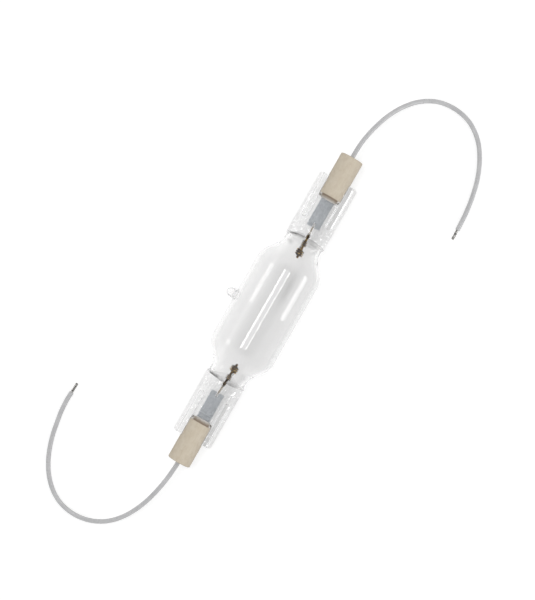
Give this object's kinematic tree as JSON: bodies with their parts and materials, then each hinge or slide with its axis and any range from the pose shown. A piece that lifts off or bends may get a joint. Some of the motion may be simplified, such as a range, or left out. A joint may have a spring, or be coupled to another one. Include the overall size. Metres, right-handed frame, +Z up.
{
  "type": "metal halide lamp",
  "caption": "Double-ended metal halide lamp: clear quartz tube with flat pinched ends, electrodes inside, slotted ceramic sleeves and flexible leads.",
  "frame": {"origin": "on the lamp's axis, midway between the electrode tips", "axes": "+X along the lamp's axis towards the right sleeve, +Y towards the side with the sealed-off filling tube, +Z up, square to the flat pinches"},
  "size_m": [0.2961, 0.1407, 0.0366],
  "materials": {
    "quartz": "clear, fire-polished",
    "tungsten": "dark brown-grey drawn wire",
    "molybdenum": "matt grey foil",
    "ceramic": "matt cream ceramic",
    "cement": "matt set cement",
    "nickel": "bright nickel-plated copper strands",
    "sheath": "satin light grey heat-proof sheath"
  },
  "bodies": {
    "root": {"quartz_tube": "quartz", "electrode_rod_left": "tungsten", "electrode_rod_right": "tungsten", "head_coil_left": "tungsten", "head_coil_right": "tungsten", "stem_coil_left": "tungsten", "stem_coil_right": "tungsten", "seal_coil_left": "tungsten", "seal_coil_right": "tungsten", "foil_left": "molybdenum", "foil_right": "molybdenum", "lead_pin_left": "molybdenum", "lead_pin_right": "molybdenum", "ceramic_sleeve_left": "ceramic", "ceramic_sleeve_right": "ceramic", "cement_left": "cement", "cement_right": "cement", "crimp_left": "nickel", "crimp_right": "nickel", "conductor_end_left": "nickel", "conductor_end_right": "nickel", "lead_cable_left": "sheath", "lead_cable_right": "sheath", "lead_tip_left": "nickel", "lead_tip_right": "nickel"}
  },
  "joints": []
}
